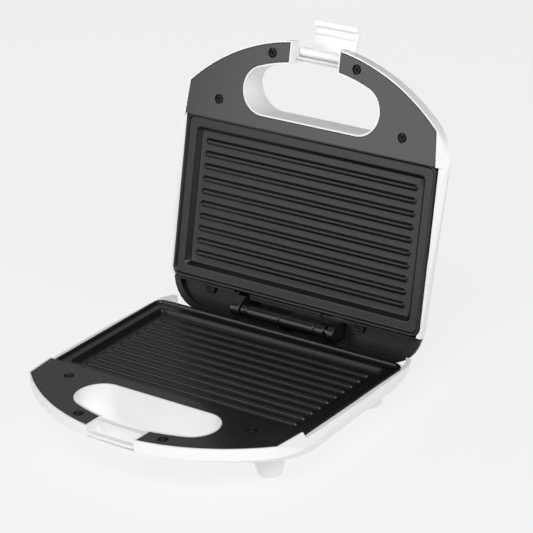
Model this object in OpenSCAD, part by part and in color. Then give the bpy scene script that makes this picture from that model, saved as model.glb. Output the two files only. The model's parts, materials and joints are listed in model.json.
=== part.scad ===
// Sandwich toaster: two clam-shell halves on a rear hinge, each with a ribbed cooking plate,
// a D-shaped carrying handle at the front and a swing-over latch clip.
// The two halves share one outline. A half is drawn with the parting plane at z = 0 and its
// depth along +Z, the hinge axis along X at y = 0 and the handle towards -Y. The base is that
// half turned over, and the lid is that half swung open about the hinge.

/* [Body] */
// Radius of the curved front edge, seen from above
front_r = 159.3; // [152:0.1:166]
// Distance from the hinge axis forward to the centre of the front curve
front_c = 46.3; // [40:0.1:52]
// Half of the body's width at its widest place
body_half_w = 116.2; // [115.6:0.2:120]
// How much narrower each side of the body is beside the hinge
rear_taper = 4.8; // [1:0.2:5.2]
// Distance of the widest place behind the trims' straight rear edge
widest_back = 22.8; // [11:0.2:40]
// Radius of the body's shoulders, beside the handle
shoulder_r = 40; // [30:1:55]
// Distance from the hinge axis back to the rear wall
rear_y = 12; // [11:0.5:15]
// Radius of the rear corners, seen from above
rear_corner_r = 27; // [24:1:30]
// Depth of the upright side wall of one half
skirt_d = 9; // [7:0.5:11]
// Space behind the reflector tray, for the feet, the lamps and the wiring
back_space = 11; // [10.5:0.5:18]
// How far the curved front slope runs back from the front edge
front_run = 80; // [60:1:95]
// How far the side rounding runs in from the side
side_run = 30; // [20:1:36]
// How far the rear rounding runs in from the rear wall
rear_run = 22; // [16:1:26]
// Wall thickness of the shells
wall = 2.2; // [1.8:0.1:3]

/* [Handle] */
// Thickness of the black handle trims
trim_t = 2; // [1.6:0.1:3]
// Width of the white rim beside the trims
rim_w = 1.2; // [0.8:0.1:1.6]
// Length of the handle, from the body's front edge back to the trims' straight rear edge
handle_l = 69.8; // [68:0.1:73]
// How far a trim's rear corner stays inside the body's widest place
trim_side = 5.2; // [4.8:0.1:8]
// How much narrower each side of a trim is per millimetre towards the front
trim_taper = 0.093; // [0.05:0.001:0.12]
// Width of the curved grip bar of the handle
bar_w = 14.2; // [12:0.1:16]
// Width of a trim between its straight rear edge and the hand hole
hole_web = 9.4; // [8:0.1:11]
// Radius of the hand hole's round ends
hole_end_r = 18.8; // [16:0.1:20]
// Half of the width of the gap in the trims at the latch
latch_gap_half = 22.2; // [21:0.1:26]

/* [Plates] */
// How far a plate's front edge reaches under the trim
plate_tuck = 0.9; // [0.3:0.1:1.5]
// Distance from the hinge axis to a plate's rear edge
plate_rear = 11.9; // [11.5:0.1:14]
// Corner radius of a plate
plate_corner_r = 7; // [5:0.5:10]
// Depth of the raised lip round a plate's edge below the parting plane
plate_lip_d = 2.5; // [2.5:0.1:3.2]
// Width of the raised lip
plate_lip_w = 2.2; // [1.5:0.1:3]
// Depth of the plate's flat shelf inside the lip
plate_rim_d = 4.2; // [4:0.1:5]
// Thickness of the plate's rim and floor
plate_t = 3; // [2.4:0.1:3.4]
// Width of lip and shelf together, from the outer edge to the sloping wall
plate_rim_w = 9.7; // [8:0.1:10.5]
// Run of the sloping wall between shelf and floor
plate_slope_w = 2.6; // [1.5:0.1:3.4]
// Depth of the cooking floor below the parting plane
plate_floor_d = 8; // [7.6:0.1:8.4]
// Number of ribs on a plate
rib_count = 10; // [6:1:10]
// Distance from a plate's front and rear edge to the middle of the nearest rib
rib_edge = 19.8; // [18:0.1:26]
// Distance from a plate's side to a rib's end
rib_side = 17.1; // [16:0.1:30]
// Width of a rib at its foot
rib_w = 4.8; // [4:0.1:5.5]
// Height of a rib above the floor
rib_h = 2; // [1.5:0.1:2.4]

/* [Heating] */
// Diameter of the tubular heating element
heater_dia = 6.5; // [5:0.1:7]
// Distance from a leg of the element to the plate's screw bosses beside it
heater_boss_gap = 12; // [9:0.5:16]
// Thickness of the steel reflector tray
tray_t = 0.8; // [0.6:0.1:1.2]
// Space between the element and the reflector tray
tray_gap = 1.6; // [0.8:0.1:3]
// Diameter of the thermostat's body
thermostat_dia = 17; // [14:0.5:20]

/* [Lid hinge] */
// Angle through which the lid opens
open_angle = 104.2; // [95:0.1:104.2]
// Height of the hinge axis above the parting plane
hinge_z = 0.2; // [0:0.1:0.6]
// Outer diameter of the hinge barrels
barrel_dia = 9.6; // [8:0.1:10]
// Diameter of the steel hinge pin
hinge_pin_dia = 4; // [3:0.1:5]
// Depth at which the hinge brackets are seated
bracket_d = 16; // [15.6:0.1:16.4]
// Thickness of the brackets' plates
bracket_t = 4; // [3:0.1:4.4]

/* [Latch] */
// Distance of the latch pin behind the body's front edge
latch_back = 9.6; // [8.8:0.1:10.4]
// Distance from the parting plane up to the latch pin
latch_pin_z = 13; // [12:0.1:13.5]
// Angle through which the latch clip swings out
latch_swing = 100; // [80:1:110]
// Half of the clip's width
clip_half_w = 18.5; // [14:0.1:19.5]
// Thickness of the clip
clip_t = 2.6; // [2:0.1:3.2]
// Length of the clip below its pin
clip_l = 24.3; // [23.9:0.1:26]
// Outer diameter of the clip's barrel
clip_barrel_dia = 6.6; // [5.6:0.1:6.8]
// Diameter of the latch pin
latch_pin_dia = 2.5; // [2:0.1:3]
// Height of the hook at the clip's end
hook_h = 4; // [3:0.1:4.2]
// Reach of the hook behind the catch bar
hook_reach = 3.4; // [2.6:0.1:3.6]

/* [Feet] */
// Height of the base above the worktop
foot_h = 8.5; // [7:0.5:16]
// Distance of the feet from the body's widest place
foot_side = 33.7; // [32:0.5:46]
// Distance of the front feet behind the body's front edge
foot_back = 69.6; // [68:0.5:80]
// Distance from the hinge axis to the rear feet
foot_rear = 16; // [14:0.5:24]
// Diameter of a foot at its top
foot_top_dia = 25; // [20:0.5:27]
// Diameter of a foot at its bottom
foot_end_dia = 17; // [14:0.5:20]
// Thickness of the boss above a foot's seat
foot_boss_t = 2; // [1.6:0.1:3]
// Diameter of the rubber pad under a foot
pad_dia = 13; // [10:0.5:14]
// How far a rubber pad stands out of its foot
pad_out = 0.8; // [0.5:0.1:1.5]

/* [Fasteners] */
// Head diameter of the trim screws
screw_head_dia = 6.4; // [5:0.1:6.6]
// Shank diameter of the screws
screw_dia = 3; // [2.5:0.1:3.4]
// Length of the trim screws
trim_screw_l = 9; // [7:0.5:9.5]
// Length of the other screws
short_screw_l = 6; // [5:0.5:7]
// Distance from the latch gap to the trim screw beside it
screw_in_side = 14.9; // [12:0.1:18]
// Distance of that screw from the body's curved front edge
screw_in_edge = 8.37; // [7.5:0.01:9.5]
// Distance of a trim screw at the shoulder from the trim's side
screw_out_side = 29.8; // [27:0.1:33]
// Distance of that screw from the body's curved front edge
screw_out_edge = 26.6; // [25:0.1:29]

/* [Lamps and cord inlet] */
// Diameter of the two lamp lenses in the lid
lamp_dia = 8; // [5:0.5:10]
// Distance between the two lamp lenses
lamp_gap = 24; // [16:1:40]
// Distance of the lamps behind the body's front edge
lamp_back = 87.6; // [85:0.2:100]
// Height of a lamp's body below its lens
lamp_h = 5; // [4:0.5:5.5]
// Diameter of the gland's opening for the mains cord
cord_bore = 6.6; // [5:0.1:6.8]
// Sideways place of the cord gland
gland_x = -56; // [-60:1:-40]

/* [Clearances] */
// Gap between the two handle trims when the lid is closed
handle_gap = 0.5; // [0.3:0.1:1]
// Gap round pieces that are dropped into a pocket
seat_gap = 0.2; // [0.1:0.05:0.3]
// Radial clearance of a pin in the barrel that turns on it
running_gap = 0.05; // [0.03:0.01:0.1]
// Radial clearance of a pin in the ears that hold it
pin_seat_gap = 0.02; // [0.01:0.01:0.05]
// Radial clearance of a screw in the piece that it passes through
screw_gap = 0.4; // [0.2:0.05:0.6]
// Radial clearance of a screw in the post that it is driven into
thread_gap = 0.05; // [0.03:0.01:0.1]
// Gap between neighbouring barrels of the hinge
barrel_gap = 0.4; // [0.2:0.1:0.6]

/* [Hidden] */
$fn = 64;
eps = 0.01;

// How far the body's front edge lies from the hinge axis, and what is placed from it
reach = front_c + front_r;
trim_rear = reach - handle_l;
hole_rear = trim_rear + hole_web;
latch_pin_y = reach - latch_back;
foot_front = reach - foot_back;
lamp_y = reach - lamp_back;
widest_y = trim_rear - widest_back;

// Half widths, all taken from the widest place
hinge_half_w = body_half_w - rear_taper;
trim_half_w = body_half_w - trim_side;
plate_half_w = trim_half_w + seat_gap;
foot_x = body_half_w - foot_side;

// The depths of what is stacked in a half, from the plate to the outer face
plate_back_d = plate_floor_d + plate_t;
heater_lift = 0.1;
tray_d = plate_back_d + heater_lift + heater_dia + tray_gap;
half_d = tray_d + tray_t + back_space;
foot_seat_d = tray_d + tray_t + foot_boss_t;
parting_h = half_d + foot_h;

// The front curve's centre, and the trims' own size inside the white rim
front_centre = [0, -front_c];
face_d = handle_gap / 2;
trim_r = front_r - rim_w - seat_gap;
trim_back_d = face_d + trim_t;
hole_front_r = trim_r - bar_w;
hole_cy = hole_rear + hole_end_r;
hole_cx = sqrt(pow(hole_front_r - hole_end_r, 2) - pow(hole_cy - front_c, 2));
rim_out = rim_w + seat_gap;
trim_sink = 1.2;

// Levels of the shells' edge beside and behind the plates
side_rim_d = plate_lip_d + 1.3;
band_d = side_rim_d + 2.5;
band_h = 2.3;
lid_rear_rim_d = band_d + band_h + 0.1;
base_rear_rim_d = bracket_d - 0.9;
base_relief_y = 0.8;

// Plates: the middle and half of their length, ribs, and the screw bosses on their underside
plate_front = trim_rear + plate_tuck;
plate_cy = (plate_front + plate_rear) / 2;
plate_half_l = (plate_front - plate_rear) / 2;
rib_pitch = 2 * (plate_half_l - rib_edge) / (rib_count - 1);
rib_half_l = plate_half_w - rib_side;
boss_x = plate_half_w - 51.2;
boss_y = plate_half_l - 18.4;
boss_r = 4;
tray_half_w = plate_half_w - 11;
tray_half_l = plate_half_l - 5.7;
heater_leg_y = boss_y - heater_boss_gap;
heater_end_x = tray_half_w - 16;
heater_tail_l = 8;
sensor_x = 20;

// Rear frames, which close the halves behind the plates
frame_t = 1.6;
pocket_gap = 0.35;
front_step = 5;
frame_front = plate_rear - 0.6;
lid_panel_d = 10;
frame_screw_y = 7;
frame_boss_h = 2.4;
frame_screw_seat = 1;
post_r = 4.5;

// Hinge barrels along X, as [from, to]: two of the base and one of the lid, and the lid's ears
base_barrels = [[-33.3, -4.8 - barrel_gap / 2], [26.4 + barrel_gap / 2, 34.8]];
lid_barrel = [-4.8 + barrel_gap / 2, 26.4 - barrel_gap / 2];
base_collar = [-40.4, -36.2];
base_neck = [base_collar[0], base_barrels[0][0]];
lid_ears = [[-49, -41], [38.5, 44]];
ear_r = 5.6;
ear_back = 4.6;
hinge_pin_ends = [lid_ears[0][0] + 2, lid_ears[1][1] - 1.4];
hinge_pin_play = 0.4;
frame_mid = [lid_ears[0][0] - 3.5, lid_ears[1][1] + 1];
frame_screw_x = [frame_mid[0] - 26.1, frame_mid[1] + 12];
base_bracket_ends = [base_collar[0], base_barrels[1][1]];
lid_bracket_ends = [lid_ears[0][0], lid_ears[1][1]];
bracket_front = frame_front - frame_t - seat_gap;
ear_tops = [[-bracket_front, band_d - 4], [-6.4, ear_r]];
tongue = [-38.5, 26];
tongue_l = 3.9;
tongue_d = plate_rim_d;
bracket_screw_x = [-37, -18, 10, 31];
bracket_screw_y = 6;
bracket_screw_l = bracket_t + frame_t - 0.8;
arm_front = 3.2;
arm_back = 2.2;

// How deep a pad sits in its foot. Cord gland and its boss, under the frame's panel
pad_in = 1.2;
gland_r = cord_bore / 2 + 1;
gland_boss_r = 6.2;
gland_boss_in = 2;
gland_boss_l = rear_y;
gland_d = bracket_d + frame_t + seat_gap + gland_boss_r;

// Lamp holder behind the lid's outer face, lamp lenses, and the terminal block in the base
lamp_row_l = lamp_gap + 2 * lamp_dia;
lamp_row_w = lamp_dia + 2;
lamp_row_t = 4;
lamp_seat_t = 2.8;
lens_out = 0.6;
terminal_x = 20 - boss_x;
terminal_y = 34;
terminal_l = 24;
terminal_w = 10;
terminal_h = 7;

// Latch: the clip is drawn latched, hanging from its pin, and is then swung out
notch_half = latch_gap_half - rim_out;
notch_back_y = latch_pin_y - clip_barrel_dia / 2 - 0.4;
notch_floor_lid = 9;
notch_rib_d = notch_floor_lid - 3;
notch_rib_t = 1;
notch_floor_rear = 1.5;
notch_floor_base = 12.2;
notch_front_base = latch_pin_y + 2.6;
notch_wall = 4.2;
clip_face = latch_back + 0.4;
catch_bar = [latch_pin_y + clip_face - hook_reach - 1.4, latch_pin_y + clip_face - 1];
catch_top_d = 4.9;
clip_ridge_z = 15;
clip_ridge_r = 0.7;
catch_low_d = clip_l - hook_h - latch_pin_z - 0.3;

// Where the open lid's clip ends, which is the rearmost point of the part at rest
clip_tip = [-(clip_face + clip_t), -clip_l];
clip_tip_open = [clip_tip[0] * cos(latch_swing) + clip_tip[1] * sin(latch_swing),
                 -clip_tip[0] * sin(latch_swing) + clip_tip[1] * cos(latch_swing)];
tip_y = -latch_pin_y + clip_tip_open[0];
tip_z = latch_pin_z + clip_tip_open[1] - hinge_z;
rear_most = tip_y * cos(open_angle) + tip_z * sin(open_angle);
front_most = -reach;
origin_y = (rear_most + front_most) / 2;

// Points of an arc, from angle a0 to a1 in n steps
function arc(c, r, a0, a1, n) =
    [for (i = [0 : n]) let (a = a0 + (a1 - a0) * i / n) c + r * [cos(a), sin(a)]];

// Points of the front curve, at the same angles for every outline, up to angle a1
function front_arc(c, r, a1) =
    [for (a = [-90 : front_step : a1 - 1]) c + r * [cos(a), sin(a)]];

// A closed outline from its right half, whose first point lies on the middle line
function mirrored(half) =
    concat(half, [for (i = [len(half) - 1 : -1 : 1]) [-half[i][0], half[i][1]]]);

// How far a dome of the given run and height has come in at depth d
function run_in(d, run, top, skirt) =
    let (h = top - skirt, r = (run * run + h * h) / (2 * h), k = r - (top - d))
    run - sqrt(max(r * r - k * k, 0));

// Outline of the body: front curve, round shoulder, side line and round rear corner.
// fi moves the front curve back, w_front and w_rear are the half widths, ry is the rear wall
function body_outline(fr, fi, w_front, w_rear, ry, rc, sr) =
    let (lean = atan((w_front - w_rear) / widest_y),
         fc = [0, fi - front_c],
         k = w_front * cos(lean) - widest_y * sin(lean),
         turn = lean - acos((k - sr - fc[1] * sin(lean)) / (fr - sr)),
         sc = fc + (fr - sr) * [cos(turn), sin(turn)],
         rcy = ry - rc,
         rcx = (k - rc - rcy * sin(lean)) / cos(lean))
    mirrored(concat(front_arc(fc, fr, turn), arc(sc, sr, turn, lean, 7),
                    arc([rcx, rcy], rc, lean, 90, 8)));

// Where the rim's front curve meets its side
corner_y = let (w = trim_half_w + rim_out, m = trim_taper, q = w + m * (trim_rear - front_c))
    front_c + (m * q + sqrt(m * m * q * q - (1 + m * m) * (q * q - front_r * front_r)))
    / (1 + m * m);

// Outline of the body's edge at the parting plane, which follows the trims' corners
rim_outline =
    let (w = trim_half_w + rim_out,
         x = w - trim_taper * (corner_y - trim_rear),
         a = atan2(front_c - corner_y, x),
         straight = hinge_half_w + 2.8,
         rc = rear_corner_r)
    mirrored(concat(front_arc(front_centre, front_r, a), [[x, -corner_y], [w, -trim_rear]],
                    [[straight, -widest_y]],
                    arc([straight - rc, rear_y - rc], rc, 0, 90, 8)));

module outline_slab(points, d, t = eps) translate([0, 0, d]) linear_extrude(t) polygon(points);

// Depths at which a dome is cut, closer together towards its flat top
function levels(top, n) =
    let (h = top - skirt_d, r = (side_run * side_run + h * h) / (2 * h), full = asin(side_run / r))
    [for (i = [0 : n]) i == n ? skirt_d : top - eps - r * (1 - cos(full * i / n))];

// One cut through a dome whose walls lie e inside the body's
module dome_slab(d, top, e) {
    side = e + run_in(d, side_run, top, skirt_d);
    outline_slab(body_outline(front_r - e, run_in(d, front_run, top, skirt_d),
        body_half_w - side, hinge_half_w - side,
        rear_y - e - run_in(d, rear_run, top, skirt_d), rear_corner_r - e, shoulder_r), d);
}

// The outer form of a half
module outer_form() hull() {
    outline_slab(rim_outline, face_d);
    for (d = levels(half_d, 8)) dome_slab(d, half_d, 0);
}

// The hollow inside a half, with the wider pocket for the plate
module inner_form() {
    top = half_d - wall;
    mouth_w = trim_half_w - 2;
    hull() {
        outline_slab(body_outline(front_r - wall, 0, mouth_w, mouth_w, rear_y - wall,
            rear_corner_r - wall, shoulder_r), -1);
        for (d = levels(top, 6)) dome_slab(d, top, wall);
    }
    translate([0, 0, -1]) linear_extrude(plate_rim_d + plate_t + 1 + seat_gap) plate_2d(-pocket_gap);
}

// The hand hole, made larger by e
module hole_2d(e = 0) {
    axis = [hole_cx, front_c - hole_cy] / norm([hole_cx, front_c - hole_cy]);
    for (s = [-1, 1]) translate([s * hole_cx, -hole_cy]) circle(hole_end_r + e);
    intersection() {
        translate(front_centre) circle(hole_front_r + e);
        polygon([[-hole_cx, e - hole_rear], [hole_cx, e - hole_rear], [hole_cx, -hole_cy],
                 front_centre + front_r * axis,
                 front_centre + front_r * [-axis[0], axis[1]], [-hole_cx, -hole_cy]]);
    }
}

// A trim's D shape without its hole, made larger by e
module trim_2d(e = 0) {
    intersection() {
        translate(front_centre) circle(trim_r + e);
        polygon([[-trim_half_w - e, e - trim_rear], [trim_half_w + e, e - trim_rear],
                 [trim_half_w + e - trim_taper * handle_l, -reach],
                 [-trim_half_w - e + trim_taper * handle_l, -reach]]);
    }
}

// The point at sideways distance x that lies e inside the front edge
function inside_front(x, e) = [x, -front_c - sqrt(pow(front_r - e, 2) - x * x), 0];

module at_trim_screws() {
    for (s = [0, 1]) mirror([s, 0, 0]) {
        translate(inside_front(latch_gap_half + screw_in_side, screw_in_edge)) children();
        translate(inside_front(trim_half_w - screw_out_side, screw_out_edge)) children();
    }
}
module at_bosses()
    for (sx = [-1, 1], sy = [-1, 1])
        translate([sx * boss_x, -plate_cy + sy * boss_y, 0]) children();
module at_frame_screws()
    for (x = frame_screw_x) translate([x, -frame_screw_y, 0]) children();
module at_feet()
    for (s = [-1, 1], y = [foot_front, foot_rear]) translate([s * foot_x, -y, 0]) children();
module along_x(ends) translate([ends[0], 0, 0]) rotate([0, 90, 0]) children();
module tube_x(ends, r) along_x(ends) cylinder(r = r, h = ends[1] - ends[0]);

// A box from its two opposite corners
module span(a, b) translate(a) cube(b - a);

// What stands inside a half's hollow: hole wall, screw posts and latch walls
module inner_walls(panel_d) {
    translate([0, 0, -1]) linear_extrude(half_d + 2) hole_2d(wall - rim_out);
    at_trim_screws() translate([0, 0, trim_back_d]) cylinder(r = post_r, h = half_d);
    at_bosses() translate([0, 0, tray_d + tray_t]) difference() {
        cylinder(r = post_r + 3, h = half_d);
        translate([0, 0, -1]) cylinder(r = post_r + 0.6, h = half_d);
    }
    at_frame_screws() translate([0, 0, panel_d + frame_t]) cylinder(r = post_r, h = half_d);
    span([-notch_half - notch_wall, -reach, -1],
         [notch_half + notch_wall, -notch_back_y + notch_wall, half_d]);
}

// What is cut out of every half: hand hole, trim's seat, edge beside the plate, screw bores
module half_cuts(panel_d, rear_rim_d, rear_from) {
    big = 2 * body_half_w;
    translate([0, 0, -1]) linear_extrude(half_d + 2) hole_2d(-rim_out);
    translate([0, 0, -1]) linear_extrude(trim_back_d + 1) difference() {
        trim_2d(seat_gap);
        hole_2d(-seat_gap);
        translate([-notch_half - rim_w, -big])
            square([2 * (notch_half + rim_w), big - hole_cy]);
    }
    span([-big, -trim_rear + seat_gap, -1], [big, big, side_rim_d]);
    span([-big, rear_from, -1], [big, big, rear_rim_d]);
    at_trim_screws() cylinder(r = screw_dia / 2 + thread_gap, h = trim_back_d + 10);
    at_frame_screws() cylinder(r = screw_dia / 2 + thread_gap, h = panel_d + frame_t + 7);
}

// One half's shell, before its own openings. The white rim is left round trim and hole
module half_shell(panel_d, rear_rim_d, rear_from) {
    difference() {
        outer_form();
        difference() {
            inner_form();
            inner_walls(panel_d);
            children();
        }
        half_cuts(panel_d, rear_rim_d, rear_from);
    }
}

module lid_shell_half() {
    difference() {
        half_shell(lid_panel_d, lid_rear_rim_d, -frame_front)
            translate([0, -lamp_y, half_d - wall - lamp_seat_t / 2 + eps])
                cube([lamp_row_l + 4, lamp_row_w + 4, lamp_seat_t], center = true);
        span([-notch_half, -reach - 1, -1], [notch_half, -notch_back_y, half_d + 1]);
        span([-notch_half, -notch_back_y - eps, -1], [notch_half, -hole_cy, notch_rib_d]);
        span([-notch_half, notch_rib_t - notch_back_y, -1],
             [notch_half, -hole_cy, notch_floor_lid]);
        for (s = [-1, 1]) translate([s * lamp_gap / 2, -lamp_y, half_d - lamp_h - 3])
            cylinder(r = lamp_dia / 2 + seat_gap / 2, h = 10);
        latch_pin_bore();
    }
}

module latch_pin_bore()
    translate([0, -latch_pin_y, latch_pin_z])
        tube_x([-notch_half - 3, notch_half + 3], latch_pin_dia / 2 + pin_seat_gap);

module base_shell_half() {
    difference() {
        union() {
            half_shell(bracket_d, base_rear_rim_d, base_relief_y)
                at_feet() translate([0, 0, tray_d + tray_t])
                    cylinder(r = foot_top_dia / 2 + 2, h = half_d);
            at_gland() cylinder(r = gland_boss_r, h = gland_boss_l);
        }
        difference() {
            span([-notch_half, -reach - 1, -1],
                 [notch_half, -notch_back_y, notch_floor_base]);
            span([-notch_half - 1, -catch_bar[1], catch_top_d],
                 [notch_half + 1, -catch_bar[0], catch_low_d]);
        }
        span([-notch_half, -reach - 1, catch_low_d],
             [notch_half, -notch_front_base, half_d + 1]);
        span([-notch_half, -notch_back_y - eps, -1], [notch_half, -hole_cy, notch_floor_rear]);
        at_feet() translate([0, 0, foot_seat_d]) cylinder(r = foot_top_dia / 2 + seat_gap, h = 20);
        at_gland() translate([0, 0, -gland_boss_l])
            cylinder(r = gland_r + seat_gap / 2, h = 3 * gland_boss_l);
    }
}

// The cord gland's axis, from the inner end of its boss outwards
module at_gland() translate([gland_x, -gland_boss_in, gland_d]) rotate([-90, 0, 0]) children();

// A handle trim with its screw holes
module half_trim() {
    head_r = screw_head_dia / 2 + seat_gap;
    difference() {
        translate([0, 0, face_d]) linear_extrude(trim_t) difference() {
            trim_2d();
            hole_2d();
            translate([-latch_gap_half, -reach - 1])
                square([2 * latch_gap_half, reach - hole_cy]);
        }
        at_trim_screws() {
            cylinder(r = screw_dia / 2 + screw_gap, h = trim_back_d + 1);
            cylinder(r = head_r, h = face_d + trim_sink);
        }
    }
}

// A screw with a cross recess, its head's underside at z = 0 and its shank along +Z
module cross_screw(l, head_h = 1.1) {
    difference() {
        translate([0, 0, -head_h]) cylinder(r = screw_head_dia / 2, h = head_h);
        for (a = [0, 90]) rotate(a) translate([0, 0, -head_h])
            cube([screw_head_dia * 0.6, 0.9, 1.2], center = true);
    }
    cylinder(r = screw_dia / 2, h = l);
}

// A rounded rectangle, made smaller by e
module plate_2d(e) {
    r = max(plate_corner_r - e, 0.8);
    x = plate_half_w - e - r;
    y = plate_half_l - e - r;
    translate([0, -plate_cy]) {
        square([2 * x + 2 * r, 2 * y], center = true);
        square([2 * x, 2 * y + 2 * r], center = true);
        for (sx = [-1, 1], sy = [-1, 1]) translate([sx * x, sy * y]) circle(r);
    }
}

// One sloping step of the plate's pan: from inset e0 at depth d0 to inset e1 at depth d1
module pan_step(e0, d0, e1, d1) hull() {
    translate([0, 0, d0]) linear_extrude(eps, $fn = 32) plate_2d(e0);
    translate([0, 0, d1]) linear_extrude(eps, $fn = 32) plate_2d(e1);
}

// A cast cooking plate: lip, shelf, sloping wall, floor with ribs, and four bosses behind
module half_plate() {
    difference() {
        union() {
            translate([0, 0, plate_lip_d]) linear_extrude(plate_rim_d + plate_t - plate_lip_d)
                plate_2d(0);
            translate([0, 0, plate_rim_d]) linear_extrude(plate_back_d - plate_rim_d)
                plate_2d(plate_rim_w - 1);
            at_bosses() translate([0, 0, plate_back_d - 1])
                cylinder(r = boss_r, h = tray_d - plate_back_d + 1);
        }
        pan_step(plate_lip_w + 0.8, plate_rim_d - eps, plate_lip_w, plate_lip_d - 2 * eps);
        pan_step(plate_rim_w + plate_slope_w, plate_floor_d, plate_rim_w, plate_rim_d - 2 * eps);
        at_bosses() translate([0, 0, plate_back_d + 1])
            cylinder(r = screw_dia / 2 + thread_gap, h = tray_d);
    }
    ribs();
}

// The ribs are prisms with sloping sides and round ends
module ribs() {
    first = (rib_count - 1) / 2;
    for (i = [0 : rib_count - 1]) translate([0, -plate_cy + (i - first) * rib_pitch, 0])
        intersection() {
            translate([0, 0, plate_floor_d - rib_h]) linear_extrude(rib_h + 0.3) {
                square([2 * rib_half_l - rib_w, rib_w], center = true);
                for (s = [-1, 1]) translate([s * (rib_half_l - rib_w / 2), 0]) circle(d = rib_w);
            }
            translate([-rib_half_l - 1, 0, plate_floor_d]) rotate([90, 0, 90])
                linear_extrude(2 * rib_half_l + 2) rib_profile();
        }
}
module rib_profile() {
    polygon([[-rib_w / 2, 0.4], [-rib_w / 2, -0.3], [-rib_w / 4, -rib_h], [rib_w / 4, -rib_h],
             [rib_w / 2, -0.3], [rib_w / 2, 0.4]]);
}

// The tubular element: two legs and a half turn, with its cold ends
module half_heater() {
    r = heater_dia / 2;
    translate([0, -plate_cy, plate_back_d + heater_lift + r]) {
        for (s = [-1, 1]) translate([0, s * heater_leg_y, 0]) {
            tube_x([-boss_x, heater_end_x], r);
            tube_x([heater_end_x, heater_end_x + heater_tail_l], r / 2);
        }
        translate([-boss_x, 0, 0]) rotate(90) rotate_extrude(angle = 180)
            translate([heater_leg_y, 0]) circle(r);
    }
}

// The reflector tray behind a plate
module half_reflector() {
    translate([0, -plate_cy, 0]) difference() {
        span([-tray_half_w, -tray_half_l, plate_back_d + seat_gap],
             [tray_half_w, tray_half_l, tray_d + tray_t]);
        span([-tray_half_w + tray_t, -tray_half_l + tray_t, 0],
             [tray_half_w - tray_t, tray_half_l - tray_t, tray_d]);
        translate([0, plate_cy, tray_d - 1]) at_bosses()
            cylinder(r = screw_dia / 2 + screw_gap, h = 4);
    }
}

module half_plate_screws()
    at_bosses() translate([0, 0, tray_d + tray_t]) mirror([0, 0, 1]) cross_screw(short_screw_l);

// How far the frame's outline stays inside the body's, at depth d, for a dome of the given run
function frame_in(d, run) = wall + seat_gap + run_in(d, run, half_d - wall, skirt_d);

// The body's outline, made smaller by side and rear, and by corner in its corners' radius
module inset_2d(side, rear, corner)
    polygon(body_outline(front_r - side, 0, body_half_w - side, hinge_half_w - side, rear_y - rear,
        rear_corner_r - corner, shoulder_r));

// The frame's outline, which follows the inside of the shell at depth d, made smaller by e
module frame_2d(d, e = 0)
    inset_2d(frame_in(d, side_run) + e, frame_in(d, rear_run) + e, wall + e);

// The frame behind a plate: an upright lip, side panels and a deeper middle for the hinge
module half_rear_frame(panel_d) {
    deep = bracket_d + frame_t;
    under = panel_d + frame_t;
    back_in = rear_y - frame_in(deep, rear_run) - frame_t;
    difference() {
        union() {
            intersection() {
                translate([0, 0, side_rim_d]) linear_extrude(under - side_rim_d)
                    frame_2d(under);
                union() {
                    span([-body_half_w, -frame_front, panel_d], [body_half_w, rear_y, under]);
                    span([-body_half_w, -frame_front, side_rim_d],
                         [body_half_w, frame_t - frame_front, under]);
                    span([tongue[0], -frame_front, tongue_d],
                         [tongue[1], tongue_l - frame_front, tongue_d + frame_t]);
                }
            }
            intersection() {
                translate([0, 0, panel_d]) linear_extrude(deep - panel_d) frame_2d(deep);
                span([frame_mid[0] - frame_t, -frame_front, panel_d],
                     [frame_mid[1] + frame_t, rear_y, deep]);
            }
            at_frame_screws() translate([0, 0, panel_d - frame_boss_h])
                cylinder(r = post_r, h = frame_boss_h + eps);
            children();
        }
        difference() {
            span([frame_mid[0], frame_t - frame_front, -1], [frame_mid[1], back_in, bracket_d]);
            span([tongue[0], -frame_front, tongue_d],
                 [tongue[1], tongue_l - frame_front, tongue_d + frame_t]);
        }
        for (b = [[frame_mid[0], tongue[0]], [tongue[1], frame_mid[1]]])
            span([b[0], -frame_front - 1, 0], [b[1], frame_t + 1 - frame_front, bracket_d - 1]);
        for (x = bracket_screw_x) translate([x, -bracket_screw_y, bracket_d - 1])
            cylinder(r = screw_dia / 2 + screw_gap, h = frame_t + 2);
        at_frame_screws() {
            cylinder(r = screw_dia / 2 + screw_gap, h = under + 1);
            cylinder(r = screw_head_dia / 2 + seat_gap, h = panel_d - frame_screw_seat);
        }
    }
}

// The lid frame's black edge band, which shows all round the lid's rear end
module lid_band() {
    under = lid_panel_d + frame_t;
    intersection() {
        union() {
            translate([0, 0, band_d]) linear_extrude(band_h) difference() {
                inset_2d(0, 0, 0);
                frame_2d(under, frame_t);
            }
            translate([0, 0, band_d]) linear_extrude(under - band_d) difference() {
                frame_2d(under);
                frame_2d(under, frame_t);
            }
        }
        span([-body_half_w, seat_gap / 2 - frame_front, 0], [body_half_w, rear_y + 1, half_d]);
    }
}

module half_frame_screws(panel_d)
    at_frame_screws() translate([0, 0, panel_d - frame_screw_seat]) cross_screw(short_screw_l);

// The bracket screws are driven from the frame's hidden side
module bracket_screw_set()
    for (x = bracket_screw_x) translate([x, -bracket_screw_y, bracket_d + frame_t])
        mirror([0, 0, 1]) cross_screw(bracket_screw_l);

// An ear seen along the hinge: round about the pin, and running back to the bracket's plate from
// a straight front that leaves the circle towards the point top
module ear_2d(axis_d, top) {
    v = top - [0, axis_d];
    turn = atan2(v[1], v[0]) + acos(ear_r / norm(v));
    translate([0, axis_d]) circle(ear_r);
    polygon([[0, axis_d], [ear_r * cos(turn), axis_d + ear_r * sin(turn)], top,
             [top[0], bracket_d], [ear_back, bracket_d], [ear_back, axis_d]]);
}

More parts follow.
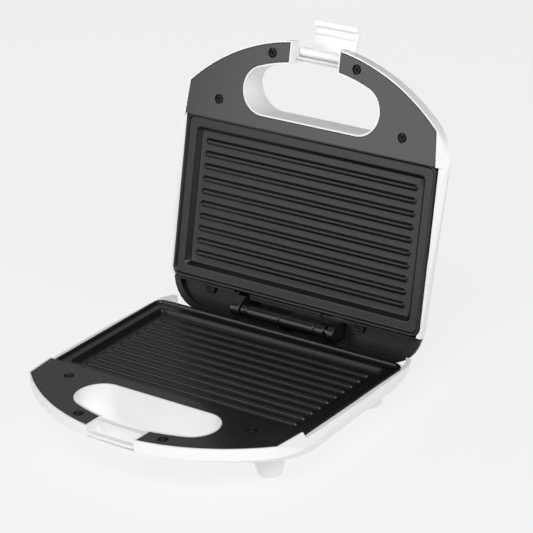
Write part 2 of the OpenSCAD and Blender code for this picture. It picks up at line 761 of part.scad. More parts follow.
// A hinge bracket: a plate with arms that carry its barrels. Its ears close the ends of the pin
module bracket(ends, barrels, bore_gap, mirror_z, ears = []) {
    top = bracket_d - bracket_t;
    axis_d = mirror_z * hinge_z;
    difference() {
        union() {
            span([ends[0], -bracket_front, top], [ends[1], arm_back, bracket_d]);
            for (b = barrels) {
                translate([0, 0, axis_d]) tube_x(b, barrel_dia / 2);
                span([b[0], -arm_front, axis_d], [b[1], arm_back, top + eps]);
            }
            for (i = [0 : len(ears) - 1])
                translate([ears[i][0], 0, 0]) rotate([90, 0, 90])
                    linear_extrude(ears[i][1] - ears[i][0]) ear_2d(axis_d, ear_tops[i]);
            translate([0, 0, axis_d]) children();
        }
        translate([0, 0, axis_d])
            tube_x(hinge_pin_ends + [-1, 1] * hinge_pin_play, hinge_pin_dia / 2 + bore_gap);
        for (x = bracket_screw_x) translate([x, -bracket_screw_y, top + 0.8])
            cylinder(r = screw_dia / 2 + thread_gap, h = bracket_t);
    }
}

// Places a half as the base, or as the lid swung open, in the part's own frame
module in_base() translate([0, -origin_y, parting_h]) mirror([0, 0, 1]) children();
module in_lid() translate([0, -origin_y, parting_h + hinge_z]) rotate([-open_angle, 0, 0])
    translate([0, 0, -hinge_z]) children();
module in_latch() in_lid() translate([0, -latch_pin_y, latch_pin_z])
    rotate([-latch_swing, 0, 0]) children();

module base_shell() color("white") in_base() base_shell_half();
module base_trim() color("#2a2a2a") in_base() half_trim();
module base_plate() color("#1c1c1e") in_base() half_plate();
module base_heater() color("#8a8478") in_base() half_heater();
module base_reflector() color("silver") in_base() half_reflector();
module base_rear_frame() color("#202022") in_base() half_rear_frame(bracket_d);
module base_trim_screws() color("#141414") in_base() at_trim_screws()
    translate([0, 0, face_d + trim_sink]) cross_screw(trim_screw_l);
module base_plate_screws() color("silver") in_base() half_plate_screws();
module base_frame_screws() color("#1a1a1a") in_base() half_frame_screws(bracket_d);
module base_hinge_bracket() color("#3a3a3c") in_base() bracket(base_bracket_ends,
    base_barrels, pin_seat_gap, -1) {
        tube_x(base_collar, barrel_dia / 2 - 0.6);
        tube_x(base_neck, barrel_dia / 2 - 1.4);
    }
module base_bracket_screws() color("#1a1a1a") in_base() bracket_screw_set();
module hinge_pin() color("silver") translate([0, -origin_y, parting_h + hinge_z])
    tube_x(hinge_pin_ends, hinge_pin_dia / 2);

// A tapered foot with a pocket for its pad
module feet() color("white") in_base() at_feet() difference() {
    end_d = parting_h - pad_out;
    translate([0, 0, foot_seat_d])
        cylinder(d1 = foot_top_dia, d2 = foot_end_dia, h = end_d - foot_seat_d);
    translate([0, 0, end_d - pad_in]) cylinder(r = pad_dia / 2 + seat_gap / 2, h = 2 * pad_in);
}
module foot_pads() color("#303030") in_base() at_feet()
    translate([0, 0, parting_h - pad_out - pad_in]) cylinder(d = pad_dia, h = pad_out + pad_in);

// The bush in the rear wall where the mains cord enters
module cord_gland() color("#222222") in_base() at_gland() difference() {
    union() {
        translate([0, 0, -3]) cylinder(r = gland_r, h = gland_boss_l + 5);
        translate([0, 0, gland_boss_l]) cylinder(r = gland_boss_r - 0.6, h = 2);
    }
    translate([0, 0, -gland_boss_l]) cylinder(d = cord_bore, h = 3 * gland_boss_l);
}

module terminal_block() color("ivory") in_base()
    translate([terminal_x, -terminal_y, half_d - wall]) difference() {
        span([-terminal_l / 2, -terminal_w / 2, -terminal_h], [terminal_l / 2, terminal_w / 2, 0]);
        for (i = [-1 : 1]) translate([i * terminal_l * 0.3, 0, -terminal_h - 1])
            cylinder(r = screw_dia / 2, h = 4);
    }

// A snap-disc thermostat on the back of the plate, with two tabs
module snap_disc(r) {
    translate([0, 0, plate_back_d]) cylinder(r = r, h = 2.4);
    translate([0, 0, plate_back_d + 2.4 - eps]) cylinder(r = r * 0.8, h = 3.6);
    for (s = [-1, 1]) translate([s * r * 0.5 - 1.6, -0.4, plate_back_d + 5]) cube([3.2, 0.8, 2.6]);
}
module thermostat() color("tan") in_base() translate([sensor_x, -plate_cy, 0])
    snap_disc(thermostat_dia / 2);
module thermal_fuse() color("tan") in_lid() translate([sensor_x, -plate_cy, 0])
    snap_disc(thermostat_dia * 0.4);

module lid_shell() color("white") in_lid() lid_shell_half();
module lid_trim() color("#2a2a2a") in_lid() half_trim();
module lid_plate() color("#1c1c1e") in_lid() half_plate();
module lid_heater() color("#8a8478") in_lid() half_heater();
module lid_reflector() color("silver") in_lid() half_reflector();
module lid_rear_frame() color("#202022") in_lid() half_rear_frame(lid_panel_d) lid_band();
module lid_trim_screws() color("#141414") in_lid() at_trim_screws()
    translate([0, 0, face_d + trim_sink]) cross_screw(trim_screw_l);
module lid_plate_screws() color("silver") in_lid() half_plate_screws();
module lid_frame_screws() color("#1a1a1a") in_lid() half_frame_screws(lid_panel_d);
module lid_hinge_bracket() color("#3a3a3c") in_lid() bracket(lid_bracket_ends,
    [lid_barrel], running_gap, 1, lid_ears);
module lid_bracket_screws() color("#1a1a1a") in_lid() bracket_screw_set();

module lamp(s) translate([s * lamp_gap / 2, -lamp_y, half_d - lamp_h]) {
    cylinder(d = lamp_dia, h = lamp_h + lens_out);
    translate([0, 0, lamp_h + lens_out - eps])
        cylinder(d1 = lamp_dia, d2 = lamp_dia - 2 * lens_out, h = lens_out);
}
module power_lamp() color("red") in_lid() lamp(-1);
module ready_lamp() color("green") in_lid() lamp(1);
module lamp_holder() color("ivory") in_lid()
    translate([0, -lamp_y, half_d - lamp_h - lamp_row_t / 2])
        cube([lamp_row_l, lamp_row_w, lamp_row_t], center = true);
module latch_pin() color("silver") in_lid() translate([0, -latch_pin_y, latch_pin_z])
    tube_x([-notch_half - 2.8, notch_half + 2.8], latch_pin_dia / 2);

// The clip, latched: barrel on the pin, short arm, hanging plate with ridge and hook
module latch_clip() color("white") in_latch() difference() {
    w = clip_half_w;
    union() {
        tube_x([-notch_half + 0.4, notch_half - 0.4], clip_barrel_dia / 2);
        span([-w, -clip_face - clip_t, -1.5], [w, 0, 1.5]);
        span([-w, -clip_face - clip_t, -clip_l], [w, -clip_face, 1.5]);
        span([-w, -clip_face - eps, -clip_l], [w, -clip_face + hook_reach, -clip_l + hook_h]);
        translate([0, -clip_face, -clip_ridge_z]) tube_x([1 - w, w - 1], clip_ridge_r);
    }
    tube_x([-notch_half, notch_half], latch_pin_dia / 2 + running_gap);
}

base_shell();
base_trim();
base_plate();
base_heater();
base_reflector();
base_rear_frame();
base_trim_screws();
base_plate_screws();
base_frame_screws();
base_hinge_bracket();
base_bracket_screws();
hinge_pin();
feet();
foot_pads();
cord_gland();
terminal_block();
thermostat();
lid_shell();
lid_trim();
lid_plate();
lid_heater();
lid_reflector();
lid_rear_frame();
lid_trim_screws();
lid_plate_screws();
lid_frame_screws();
lid_hinge_bracket();
lid_bracket_screws();
lamp_holder();
power_lamp();
ready_lamp();
thermal_fuse();
latch_pin();
latch_clip();
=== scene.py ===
import json
import math

import bmesh
import bpy
import numpy as np
from mathutils import Matrix, Vector
from mathutils.geometry import tessellate_polygon


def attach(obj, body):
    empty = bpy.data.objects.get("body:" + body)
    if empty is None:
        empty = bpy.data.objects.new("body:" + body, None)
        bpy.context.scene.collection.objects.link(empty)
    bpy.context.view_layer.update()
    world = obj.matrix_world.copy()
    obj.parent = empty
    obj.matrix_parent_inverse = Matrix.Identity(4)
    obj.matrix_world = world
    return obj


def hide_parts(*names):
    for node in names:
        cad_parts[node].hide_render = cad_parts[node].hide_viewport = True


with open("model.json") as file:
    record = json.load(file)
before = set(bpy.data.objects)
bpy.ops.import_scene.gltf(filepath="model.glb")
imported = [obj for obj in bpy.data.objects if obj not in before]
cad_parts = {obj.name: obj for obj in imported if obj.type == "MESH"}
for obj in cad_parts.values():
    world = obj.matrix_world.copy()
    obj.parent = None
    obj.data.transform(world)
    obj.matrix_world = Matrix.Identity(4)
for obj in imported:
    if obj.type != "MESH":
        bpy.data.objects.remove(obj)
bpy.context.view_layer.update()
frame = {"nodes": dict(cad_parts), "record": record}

# The part's own sizes, in millimetres, as in its drawing: one half is drawn with the parting
# plane at depth 0, the hinge axis along X at y = 0 and the handle towards -Y
ORIGIN_Y, PARTING_Z, HINGE_LIFT = -61.8285, 39.5, 0.2
OPEN = math.radians(104.2)
# Distances for joining corners and for dropping slivers, in metres
WELD, SLIVER = 0.00002, 0.00001


def in_base(p):
    x, y, d = p
    return (x / 1000, (y - ORIGIN_Y) / 1000, (PARTING_Z - d) / 1000)


def in_lid(p):
    x, y, d = p
    c, s = math.cos(OPEN), math.sin(OPEN)
    z = d - HINGE_LIFT
    return (x / 1000, (y * c + z * s - ORIGIN_Y) / 1000,
            (PARTING_Z + HINGE_LIFT - y * s + z * c) / 1000)


def out_of_base(co):
    return co[0] * 1000, co[1] * 1000 + ORIGIN_Y, PARTING_Z - co[2] * 1000


def out_of_lid(co):
    c, s = math.cos(OPEN), math.sin(OPEN)
    y, z = co[1] * 1000 + ORIGIN_Y, co[2] * 1000 - PARTING_Z - HINGE_LIFT
    return co[0] * 1000, y * c - z * s, y * s + z * c + HINGE_LIFT


# ---- camera: the photograph's viewing angle, solved from matching points on both halves ----
AZ, EL, ROLL = math.radians(37.85), math.radians(23.92), math.radians(-3.11)
# Where it stands, in metres from the hinge axis and the parting plane
STAND_X, STAND_Y, STAND_Z = 1.05149, -1.37441, 0.81237
FOCAL_PX, PHOTO_PX, SENSOR_MM = 2609, 533, 36
CLIP_NEAR, CLIP_FAR = 0.05, 30


def make_camera():
    data = bpy.data.cameras.new("camera")
    cam = bpy.data.objects.new("camera", data)
    bpy.context.scene.collection.objects.link(cam)
    forward = Vector((-math.sin(AZ) * math.cos(EL), math.cos(AZ) * math.cos(EL), -math.sin(EL)))
    level = Vector((math.cos(AZ), math.sin(AZ), 0))
    upright = level.cross(forward)
    right = math.cos(ROLL) * level + math.sin(ROLL) * upright
    up = -math.sin(ROLL) * level + math.cos(ROLL) * upright
    m = Matrix((right, up, -forward)).transposed().to_4x4()
    m.translation = Vector((STAND_X, STAND_Y - ORIGIN_Y / 1000, STAND_Z + PARTING_Z / 1000))
    cam.matrix_world = m
    data.sensor_width = SENSOR_MM
    data.lens = FOCAL_PX * SENSOR_MM / PHOTO_PX
    data.clip_start, data.clip_end = CLIP_NEAR, CLIP_FAR
    bpy.context.scene.camera = cam


make_camera()

# ---- materials ----
# The part of a noise's range that is stretched over the whole of a value's range
NOISE_LOW, NOISE_HIGH = 0.3, 0.7
NOISE_DETAIL, PATCH_ROUGH, GRAIN_ROUGH = 3.0, 0.55, 0.6
# Sockets of the Mix node for colours
MIX_A, MIX_B, MIX_RESULT = 6, 7, 2


def ramp(nt, fac, lo, hi):
    n = nt.nodes.new("ShaderNodeMapRange")
    nt.links.new(fac, n.inputs["Value"])
    n.inputs["From Min"].default_value = NOISE_LOW
    n.inputs["From Max"].default_value = NOISE_HIGH
    n.inputs["To Min"].default_value = lo
    n.inputs["To Max"].default_value = hi
    return n.outputs[0]


def noise(nt, co, scale, rough, stretch=None):
    if stretch:
        mapping = nt.nodes.new("ShaderNodeMapping")
        mapping.inputs["Scale"].default_value = stretch
        nt.links.new(co, mapping.inputs["Vector"])
        co = mapping.outputs[0]
    n = nt.nodes.new("ShaderNodeTexNoise")
    n.inputs["Scale"].default_value = scale
    n.inputs["Detail"].default_value = NOISE_DETAIL
    n.inputs["Roughness"].default_value = rough
    nt.links.new(co, n.inputs["Vector"])
    return n.outputs[0]


def mixed(nt, fac, a, b):
    n = nt.nodes.new("ShaderNodeMix")
    n.data_type = "RGBA"
    nt.links.new(fac, n.inputs[0])
    n.inputs[MIX_A].default_value = (*a, 1)
    n.inputs[MIX_B].default_value = (*b, 1)
    return n.outputs[MIX_RESULT]


def surface(name, dark, light, rough, grain, bump, patch=18.0, metal=0.0, spec=0.5, coat=0.0,
            coat_rough=0.1, stretch=None):
    """A procedural finish: slow colour patches, a fine surface grain and its bump."""
    mat = bpy.data.materials.new(name)
    mat.use_nodes = True
    nt = mat.node_tree
    b = nt.nodes["Principled BSDF"]
    co = nt.nodes.new("ShaderNodeTexCoord").outputs["Object"]
    slow = noise(nt, co, patch, PATCH_ROUGH)
    fine = noise(nt, co, grain, GRAIN_ROUGH, stretch)
    nt.links.new(mixed(nt, ramp(nt, slow, 0, 1), dark, light), b.inputs["Base Color"])
    nt.links.new(ramp(nt, fine, rough[0], rough[1]), b.inputs["Roughness"])
    height = nt.nodes.new("ShaderNodeBump")
    height.inputs["Strength"].default_value = bump[0]
    height.inputs["Distance"].default_value = bump[1]
    nt.links.new(fine, height.inputs["Height"])
    nt.links.new(height.outputs[0], b.inputs["Normal"])
    b.inputs["Metallic"].default_value = metal
    b.inputs["Specular IOR Level"].default_value = spec
    b.inputs["Coat Weight"].default_value = coat
    b.inputs["Coat Roughness"].default_value = coat_rough
    return mat


# Each slot's two colours, its least and greatest roughness, the scale of its grain, and the
# strength and height of its bump
FINISHES = {
    "white_shell": dict(
        dark=(0.80, 0.80, 0.7904), light=(0.83, 0.83, 0.82502), rough=(0.34, 0.42),
        grain=2600, bump=(0.10, 0.00004), spec=0.45, coat=0.12, coat_rough=0.25),
    # Painted light: the clip is the shell's own white plastic, coloured lighter here to make up
    # for too little light falling on it
    "white_clip": dict(
        dark=(0.90, 0.90, 0.891), light=(0.92, 0.92, 0.9154), rough=(0.30, 0.38),
        grain=2600, bump=(0.08, 0.00004), spec=0.45, coat=0.15, coat_rough=0.2),
    "black_trim": dict(
        dark=(0.0045, 0.0045, 0.0045), light=(0.006, 0.006, 0.006), rough=(0.24, 0.30),
        grain=3000, bump=(0.08, 0.00003), coat=0.1),
    "non_stick_plate": dict(
        dark=(0.0045, 0.0044, 0.0043), light=(0.0062, 0.006, 0.0058), rough=(0.27, 0.37),
        grain=1500, bump=(0.20, 0.00003), patch=40, spec=0.38),
    "black_frame": dict(
        dark=(0.0055, 0.0055, 0.0055), light=(0.0075, 0.0074, 0.0072), rough=(0.42, 0.55),
        grain=2200, bump=(0.25, 0.00005), spec=0.4),
    "hinge_plastic": dict(
        dark=(0.006, 0.006, 0.006), light=(0.008, 0.008, 0.008), rough=(0.30, 0.38),
        grain=2600, bump=(0.12, 0.00004)),
    "black_screw": dict(
        dark=(0.014, 0.014, 0.0145), light=(0.026, 0.026, 0.0265), rough=(0.25, 0.4),
        grain=4000, bump=(0.2, 0.00003), patch=300, metal=0.9),
    "zinc_screw": dict(
        dark=(0.50, 0.50, 0.47), light=(0.62, 0.61, 0.57), rough=(0.28, 0.42),
        grain=3000, bump=(0.2, 0.00003), patch=200, metal=1.0),
    "pin_steel": dict(
        dark=(0.46, 0.46, 0.46), light=(0.6, 0.6, 0.6), rough=(0.22, 0.34),
        grain=2500, bump=(0.2, 0.00003), patch=120, metal=1.0, stretch=(1, 6, 6)),
    "reflector_steel": dict(
        dark=(0.58, 0.58, 0.57), light=(0.68, 0.68, 0.67), rough=(0.2, 0.34),
        grain=1200, bump=(0.15, 0.00003), metal=1.0, stretch=(0.05, 1, 1)),
    "heater_steel": dict(
        dark=(0.22, 0.18, 0.14), light=(0.40, 0.36, 0.32), rough=(0.36, 0.52),
        grain=900, bump=(0.2, 0.00004), patch=30, metal=1.0),
    "pad_rubber": dict(
        dark=(0.055, 0.055, 0.055), light=(0.075, 0.074, 0.072), rough=(0.65, 0.8),
        grain=1800, bump=(0.3, 0.00006), spec=0.3),
    "gland_plastic": dict(
        dark=(0.014, 0.014, 0.014), light=(0.02, 0.02, 0.02), rough=(0.4, 0.5),
        grain=2400, bump=(0.2, 0.00004)),
    "ivory_insulator": dict(
        dark=(0.60, 0.56, 0.44), light=(0.68, 0.64, 0.52), rough=(0.45, 0.6),
        grain=1500, bump=(0.2, 0.00005)),
    "tan_insulator": dict(
        dark=(0.34, 0.25, 0.15), light=(0.42, 0.31, 0.19), rough=(0.5, 0.65),
        grain=1500, bump=(0.25, 0.00006)),
    "red_lens": dict(
        dark=(0.50, 0.015, 0.01), light=(0.60, 0.025, 0.015), rough=(0.1, 0.16),
        grain=1500, bump=(0.05, 0.00003), patch=200, spec=0.6, coat=0.4),
    "green_lens": dict(
        dark=(0.015, 0.34, 0.06), light=(0.02, 0.42, 0.08), rough=(0.1, 0.16),
        grain=1500, bump=(0.05, 0.00003), patch=200, spec=0.6, coat=0.4),
}
MATS = {name: surface(name, **finish) for name, finish in FINISHES.items()}
SLOT_OF = {s["node"]: s["material_slot"] for s in frame["record"]["subparts"]}
BODY_OF = {n: b for b, ns in frame["record"]["behaviour"]["bodies"].items() for n in ns}
for name, ob in frame["nodes"].items():
    for ms in ob.material_slots:
        ms.material = MATS[SLOT_OF[name]]


# ---- pieces ----
def cleaned(name, source, weld=True, flat=None):
    """A mesh's shape as a new mesh, with corners joined and, up to an angle, faces merged."""
    bm = bmesh.new()
    bm.from_mesh(source)
    if weld:
        bmesh.ops.remove_doubles(bm, verts=bm.verts, dist=WELD)
        bmesh.ops.dissolve_degenerate(bm, edges=bm.edges, dist=SLIVER)
    if flat:
        bmesh.ops.dissolve_limit(bm, angle_limit=math.radians(flat), verts=bm.verts,
                                 edges=bm.edges)
    bmesh.ops.recalc_face_normals(bm, faces=bm.faces)
    me = bpy.data.meshes.new(name)
    bm.to_mesh(me)
    bm.free()
    return me


def built(name, co, faces, where, weld):
    """A mesh from points in a half's own millimetres."""
    draft = bpy.data.meshes.new("draft")
    draft.from_pydata([where(p) for p in co], [], faces)
    me = cleaned(name, draft, weld)
    bpy.data.meshes.remove(draft)
    return me


def place(name, me, node, sharp):
    """Makes a smooth object of a mesh, with the finish and body of the node it stands for."""
    me.materials.clear()
    me.materials.append(MATS[SLOT_OF[node]])
    ob = bpy.data.objects.new(name, me)
    bpy.context.scene.collection.objects.link(ob)
    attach(ob, BODY_OF[node])
    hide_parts(node)
    me.polygons.foreach_set("use_smooth", [True] * len(me.polygons))
    me.set_sharp_from_angle(angle=math.radians(sharp))
    return ob


def evened(ob, weight=50, mode="FACE_AREA"):
    """Shades flat faces flat, and turns only their rounded edges."""
    m = ob.modifiers.new("even", "WEIGHTED_NORMAL")
    m.keep_sharp = True
    m.weight = weight
    m.mode = mode


# A cast plate: half width, half length and middle, and its corners' radius outside and at
# the inner wall
PLATE_W, PLATE_L, PLATE_CY = 111.2, 62.4, 74.3
PLATE_R, PLATE_R_IN = 7.0, 3.4
PLATE_SHARP = 50
RIBS, RIB_PITCH, RIB_END, RIB_H = 10, 9.4644, 94.1, 1.9
# Its profile: distance in from its edge, and depth below the parting plane
PROFILE = [(0, 3.1), (0.12, 2.78), (0.3, 2.58), (0.55, 2.5), (1.1, 2.5), (1.65, 2.5),
           (1.95, 2.58), (2.15, 2.78), (2.45, 3.4), (2.75, 3.92), (3.0, 4.12), (3.35, 4.2),
           (8.9, 4.2), (9.3, 4.24), (9.6, 4.38), (9.85, 4.66), (10.15, 5.15), (11.0, 6.4),
           (11.7, 7.35), (12.0, 7.68), (12.35, 7.9), (12.9, 8.0)]
# A rib's cross-section: distance from its middle line, and share of its height
RIB_SHAPE = [(0, 1), (0.45, 0.99), (0.85, 0.94), (1.2, 0.82), (1.55, 0.6), (1.85, 0.36),
             (2.1, 0.17), (2.35, 0.06), (2.7, 0)]
# Extra grid lines: on the rim, across the ribs' round ends, and along the ribs
RIM_LINES = [3.9, 4.5, 5.1, 5.7, 6.3, 6.9, 7.6, 8.3]
END_LEAD, END_STEP, END_LINES = 0.5, 0.35, 10
LONG_LINES = [15, 24, 40, 64, 88]
# The back of a plate: how far in, and how deep, each ring that closes it is
BACK_RINGS = ((0.0, 7.2), (8.7, 7.25), (8.9, 11.0))


def edge_distance(gx, gy):
    """How far in from a plate's edge each point is: round corners outside and inside."""
    a, b = PLATE_W - np.abs(gx), PLATE_L - np.abs(gy)
    outer = np.where((a < PLATE_R) & (b < PLATE_R),
                     PLATE_R - np.hypot(PLATE_R - a, PLATE_R - b), np.minimum(a, b))
    root = np.sqrt(np.maximum(2 * PLATE_R_IN ** 2 - (a - b) ** 2, 0))
    inner = np.where(np.abs(a - b) < PLATE_R_IN, (a + b + root) / 2 - PLATE_R_IN,
                     np.minimum(a, b))
    return np.where(outer < PLATE_R - PLATE_R_IN, outer, inner)


def onto_corners(gx, gy):
    """Draws what lies outside a plate's round corners onto them."""
    px, py = PLATE_W - PLATE_R, PLATE_L - PLATE_R
    off = np.hypot(np.abs(gx) - px, np.abs(gy) - py)
    beyond = (PLATE_W - np.abs(gx) < PLATE_R) & (PLATE_L - np.abs(gy) < PLATE_R)
    beyond &= off > PLATE_R
    f = np.where(beyond, PLATE_R / np.maximum(off, 1e-6), 1.0)
    return (np.where(beyond, np.sign(gx) * (px + (np.abs(gx) - px) * f), gx),
            np.where(beyond, np.sign(gy) * (py + (np.abs(gy) - py) * f), gy))


def rib_share(gx, gy, ribs):
    """The share of a rib's height that each point has."""
    h = np.zeros_like(gx)
    mid = RIB_END - RIB_SHAPE[-2][0]
    for r in ribs:
        dist = np.hypot(np.maximum(np.abs(gx) - mid, 0), gy - r)
        h = np.maximum(h, np.interp(dist, *zip(*RIB_SHAPE)))
    return h


def plate_mesh(name, where):
    insets = [p[0] for p in PROFILE] + RIM_LINES
    ends = [PLATE_W - RIB_END - END_LEAD + END_STEP * i for i in range(END_LINES)]
    ribs = [(i - (RIBS - 1) / 2) * RIB_PITCH for i in range(RIBS)]
    xs = {round(s * (PLATE_W - e), 4) for s in (-1, 1) for e in insets + ends + LONG_LINES}
    ys = {round(s * (PLATE_L - e), 4) for s in (-1, 1) for e in insets}
    ys |= {round(r + s * q[0], 4) for r in ribs for s in (-1, 1) for q in RIB_SHAPE}
    gx, gy = np.meshgrid(np.array(sorted(xs)), np.array(sorted(ys)), indexing="ij")
    e = edge_distance(gx, gy)
    gx, gy = onto_corners(gx, gy)
    depth = np.interp(np.maximum(e, 0), *zip(*PROFILE)) - RIB_H * rib_share(gx, gy, ribs)
    nx, ny = gx.shape
    co = [(float(gx[i, j]), float(gy[i, j]) - PLATE_CY, float(depth[i, j]))
          for i in range(nx) for j in range(ny)]
    faces = [(i * ny + j, (i + 1) * ny + j, (i + 1) * ny + j + 1, i * ny + j + 1)
             for i in range(nx - 1) for j in range(ny - 1)]
    # the edge goes down to the rim's underside, and the underside is closed
    ring = ([i * ny for i in range(nx)] + [(nx - 1) * ny + j for j in range(1, ny)]
            + [i * ny + ny - 1 for i in range(nx - 2, -1, -1)] + list(range(ny - 2, 0, -1)))
    n, prev = len(ring), ring
    for back_in, back_d in BACK_RINGS:
        cur = list(range(len(co), len(co) + n))
        co += [(co[v][0] * (1 - back_in / PLATE_W),
                (co[v][1] + PLATE_CY) * (1 - back_in / PLATE_L) - PLATE_CY, back_d)
               for v in ring]
        faces += [(prev[q], cur[q], cur[(q + 1) % n], prev[(q + 1) % n]) for q in range(n)]
        prev = cur
    faces.append(tuple(reversed(prev)))
    return built(name, co, faces, where, weld=True)


for half, where in (("base", in_base), ("lid", in_lid)):
    name = half + "_grill"
    evened(place(name, plate_mesh(name, where), half + "_plate", PLATE_SHARP))


# Handle trims: a flat moulding with rolled edges and stepped screw holes
TRIM_TOP, TRIM_BACK, TRIM_ROLL, TRIM_SHARP = 0.25, 2.25, 0.5, 50
SEAT_D, SEAT_R, BORE_R, SEAT_ROLL = 1.45, 3.7, 1.7, 0.15
LEVEL_PLAY, SHORT_EDGE, ROLL_STEPS = 0.03, 0.02, 4
# The least share of a full mitre that a sharp corner of an outline is given
MITRE_LEAST = 0.3
# Their screws: a pointed shank and a domed head, each ring by radius and depth
SCREW_RINGS = ((0.6, 9.0), (1.5, 8.0), (1.5, SEAT_D), (3.2, SEAT_D), (3.2, 0.8), (3.1, 0.62),
               (2.85, 0.48), (2.5, 0.4), (2.3, 0.36))
# The head's cross recess, turned by 45 degrees: its arms' length and half width at the top,
# its depth, and the share of its width that its floor has
CROSS_R, CROSS_HALF, CROSS_D, CROSS_FLOOR = 2.2, 0.55, 1.9, 0.3
SCREW_SHARP = 30
CIRCLE_POINTS = 96


def loop_area(pts):
    return sum(a[0] * b[1] - b[0] * a[1] for a, b in zip(pts, pts[1:] + pts[:1])) / 2


def face_loops(node, unplace, depth):
    """The closed outlines of a CAD node's flat face that lies at a depth, the largest first."""
    bm = bmesh.new()
    bm.from_mesh(frame["nodes"][node].data)
    bmesh.ops.remove_doubles(bm, verts=bm.verts, dist=WELD)
    bm.verts.index_update()
    at = [unplace(v.co) for v in bm.verts]
    level = [f for f in bm.faces
             if all(abs(at[v.index][2] - depth) < LEVEL_PLAY for v in f.verts)]
    flat = set(level)
    after = {}
    for f in level:
        for c in f.loops:
            if sum(g in flat for g in c.edge.link_faces) == 1:
                after[c.vert.index] = c.link_loop_next.vert.index
    bm.free()
    loops = []
    while after:
        ring, cur = [], next(iter(after))
        while cur in after:
            ring.append(cur)
            cur = after.pop(cur)
        pts = [at[i][:2] for i in ring]
        pts = [q for i, q in enumerate(pts) if math.dist(q, pts[i - 1]) > SHORT_EDGE]
        loops.append(pts)
    return sorted(loops, key=lambda r: -abs(loop_area(r)))


def inset(pts, by):
    """Moves a closed outline to the left of its own direction."""
    out = []
    for i, q in enumerate(pts):
        a, b = Vector(q) - Vector(pts[i - 1]), Vector(pts[(i + 1) % len(pts)]) - Vector(q)
        m = Vector((-a.y, a.x)).normalized(), Vector((-b.y, b.x)).normalized()
        k = by / max(1 + m[0].dot(m[1]), MITRE_LEAST)
        out.append((q[0] + (m[0].x + m[1].x) * k, q[1] + (m[0].y + m[1].y) * k))
    return out


def roll(edge, top):
    """A quarter round: how far in from the edge, and how deep, from the side up to the top."""
    turns = [math.radians(90 * i / ROLL_STEPS) for i in range(ROLL_STEPS + 1)]
    return [(edge * (1 - math.cos(t)), top + edge * (1 - math.sin(t))) for t in turns]


def layered(name, stacks, where):
    """A closed mesh from stacks of rings: side walls, and a flat face at both ends."""
    co, faces, ends = [], [], ([], [])
    for rings in stacks:
        starts = []
        for pts, d in rings:
            starts.append(len(co))
            co += [(q[0], q[1], d) for q in pts]
        n = len(rings[0][0])
        for lo, hi in zip(starts, starts[1:]):
            faces += [(lo + i, lo + (i + 1) % n, hi + (i + 1) % n, hi + i) for i in range(n)]
        ends[0].append(range(starts[0], starts[0] + n))
        ends[1].append(range(starts[-1], starts[-1] + n))
    for rings in ends:
        flat = [i for r in rings for i in r]
        tris = tessellate_polygon([[Vector((co[i][0], co[i][1], 0)) for i in r] for r in rings])
        faces += [tuple(flat[i] for i in t) for t in tris]
    return built(name, co, faces, where, weld=False)


def turned(cx, cy, radius_at):
    """A closed outline round a centre, clockwise, its radius given for each angle."""
    turns = [-2 * math.pi * i / CIRCLE_POINTS for i in range(CIRCLE_POINTS)]
    return [(cx + radius_at(t) * math.cos(t), cy + radius_at(t) * math.sin(t)) for t in turns]


def circle(cx, cy, r):
    return turned(cx, cy, lambda t: r)


def cross(cx, cy, scale):
    """The outline of a cross recess, point for point with a circle."""
    quarter = math.pi / 2

    def radius_at(t):
        off = abs((t % quarter) - quarter / 2) + 1e-6
        return scale * min(CROSS_R, CROSS_HALF / math.sin(off))
    return turned(cx, cy, radius_at)


def screws_mesh(name, centres, where):
    stacks = [[(circle(cx, cy, r), d) for r, d in SCREW_RINGS]
              + [(cross(cx, cy, 1.0), SCREW_RINGS[-1][1]), (cross(cx, cy, CROSS_FLOOR), CROSS_D)]
              for cx, cy in centres]
    return layered(name, stacks, where)


def trim_outline(node, unplace):
    """A CAD trim's outline, anticlockwise, and the centres of its screw holes."""
    edge, *holes = face_loops(node, unplace, TRIM_TOP)
    centres = [((min(q[0] for q in pts) + max(q[0] for q in pts)) / 2,
                (min(q[1] for q in pts) + max(q[1] for q in pts)) / 2) for pts in holes]
    return edge if loop_area(edge) > 0 else edge[::-1], centres


def trim_mesh(name, edge, centres, where):
    stacks = [[(edge, TRIM_BACK)] + [(inset(edge, e), d) for e, d in roll(TRIM_ROLL, TRIM_TOP)]]
    for cx, cy in centres:
        stacks.append([(circle(cx, cy, BORE_R), TRIM_BACK), (circle(cx, cy, BORE_R), SEAT_D),
                       (circle(cx, cy, SEAT_R), SEAT_D)]
                      + [(circle(cx, cy, SEAT_R + e), d) for e, d in roll(SEAT_ROLL, TRIM_TOP)])
    return layered(name, stacks, where)


for half, where, unplace in (("base", in_base, out_of_base), ("lid", in_lid, out_of_lid)):
    edge, centres = trim_outline(half + "_trim", unplace)
    name = half + "_handle_trim"
    evened(place(name, trim_mesh(name, edge, centres, where), half + "_trim", TRIM_SHARP))
    name = half + "_handle_screws"
    place(name, screws_mesh(name, centres, where), half + "_trim_screws", SCREW_SHARP)


# Nodes that keep their own shape and get rounded edges: the rounding's width and segments
EDGES = {"base_hinge_bracket": (0.45, 3), "lid_hinge_bracket": (0.45, 3), "feet": (0.8, 3),
         "latch_clip": (0.45, 3), "cord_gland": (0.4, 2), "base_frame_screws": (0.35, 3),
         "lid_frame_screws": (0.35, 3)}
EDGE_FLAT, EDGE_SHARP, EDGE_WEIGHT = 0.6, 32, 60
# Nodes that keep their own shape and edges, evenly shaded across their curved walls
MOULDED = ("base_shell", "lid_shell", "base_rear_frame", "lid_rear_frame")
MOULDED_FLAT, MOULDED_SHARP = 0.3, 22


def own_shape(node, flat, sharp):
    """The CAD node's own shape as one clean surface."""
    name = node + "_piece"
    return place(name, cleaned(name, frame["nodes"][node].data, flat=flat), node, sharp)


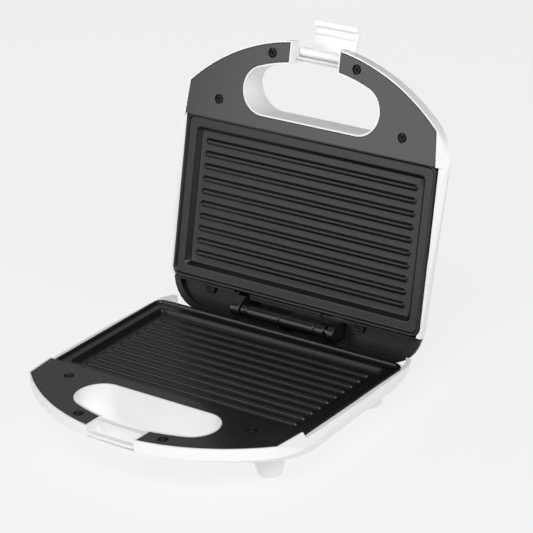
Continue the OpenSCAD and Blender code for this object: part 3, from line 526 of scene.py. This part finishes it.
for node, (width, segments) in EDGES.items():
    ob = own_shape(node, EDGE_FLAT, EDGE_SHARP)
    m = ob.modifiers.new("round", "BEVEL")
    m.width = width / 1000
    m.segments = segments
    m.limit_method = "ANGLE"
    m.angle_limit = math.radians(EDGE_SHARP)
    m.use_clamp_overlap = False
    m.miter_outer = "MITER_ARC"
    evened(ob, weight=EDGE_WEIGHT)

for node in MOULDED:
    evened(own_shape(node, MOULDED_FLAT, MOULDED_SHARP), mode="FACE_AREA_WITH_ANGLE")


# ---- stage and light ----
# The floor is dark and glows, so it stays an even pale grey with only faint shadows on it
FLOOR_HALF, FLOOR_GREY, FLOOR_GLOW, FLOOR_ROUGH, FLOOR_SPEC = 5, 0.12, 0.795, 0.9, 0.1
WORLD_LIGHT = 0.08
# Area lights: width and height, power, place and aim. The open lid mirrors front_panel in its
# flat black faces, and rib_panel on its ribs
LIGHTS = {
    "key": ((1.4, 1.4), 42, (0.9, -1.5, 1.9), (0, 0, 0.1)),
    "fill": ((1.2, 1.2), 16, (1.9, -0.4, 1.0), (0, 0, 0.1)),
    "top": ((1.0, 1.0), 3, (-1.15, 0.6, 1.6), (0, 0, 0.1)),
    "rib_panel": ((0.7, 0.35), 4.8, (-1.05, -1.37, 0.8), (0, 0.08, 0.12)),
    "front_panel": ((0.7, 0.5), 3.8, (-0.95, -1.6, 0.3), (0, 0.05, 0.2)),
    "back_panel": ((1.0, 0.8), 0.9, (-1.1, 1.4, 0.85), (0, 0, 0.05)),
}


def area(name, size, energy, loc, aim):
    data = bpy.data.lights.new(name, "AREA")
    data.shape = "RECTANGLE"
    data.size, data.size_y = size
    data.energy = energy
    ob = bpy.data.objects.new(name, data)
    bpy.context.scene.collection.objects.link(ob)
    ob.location = loc
    ob.rotation_euler = (Vector(aim) - Vector(loc)).to_track_quat("-Z", "Y").to_euler()


def make_stage():
    bm = bmesh.new()
    bmesh.ops.create_grid(bm, x_segments=1, y_segments=1, size=FLOOR_HALF)
    me = bpy.data.meshes.new("floor")
    bm.to_mesh(me)
    bm.free()
    ob = bpy.data.objects.new("floor", me)
    bpy.context.scene.collection.objects.link(ob)
    mat = bpy.data.materials.new("floor")
    mat.use_nodes = True
    b = mat.node_tree.nodes["Principled BSDF"]
    b.inputs["Base Color"].default_value = (FLOOR_GREY, FLOOR_GREY, FLOOR_GREY, 1)
    b.inputs["Roughness"].default_value = FLOOR_ROUGH
    b.inputs["Specular IOR Level"].default_value = FLOOR_SPEC
    b.inputs["Emission Color"].default_value = (1, 1, 1, 1)
    b.inputs["Emission Strength"].default_value = FLOOR_GLOW
    me.materials.append(mat)
    world = bpy.data.worlds.new("world")
    world.use_nodes = True
    background = world.node_tree.nodes["Background"]
    background.inputs["Color"].default_value = (1, 1, 1, 1)
    background.inputs["Strength"].default_value = WORLD_LIGHT
    bpy.context.scene.world = world
    bpy.context.scene.view_settings.view_transform = "Standard"


make_stage()
for name, lamp in LIGHTS.items():
    area(name, *lamp)
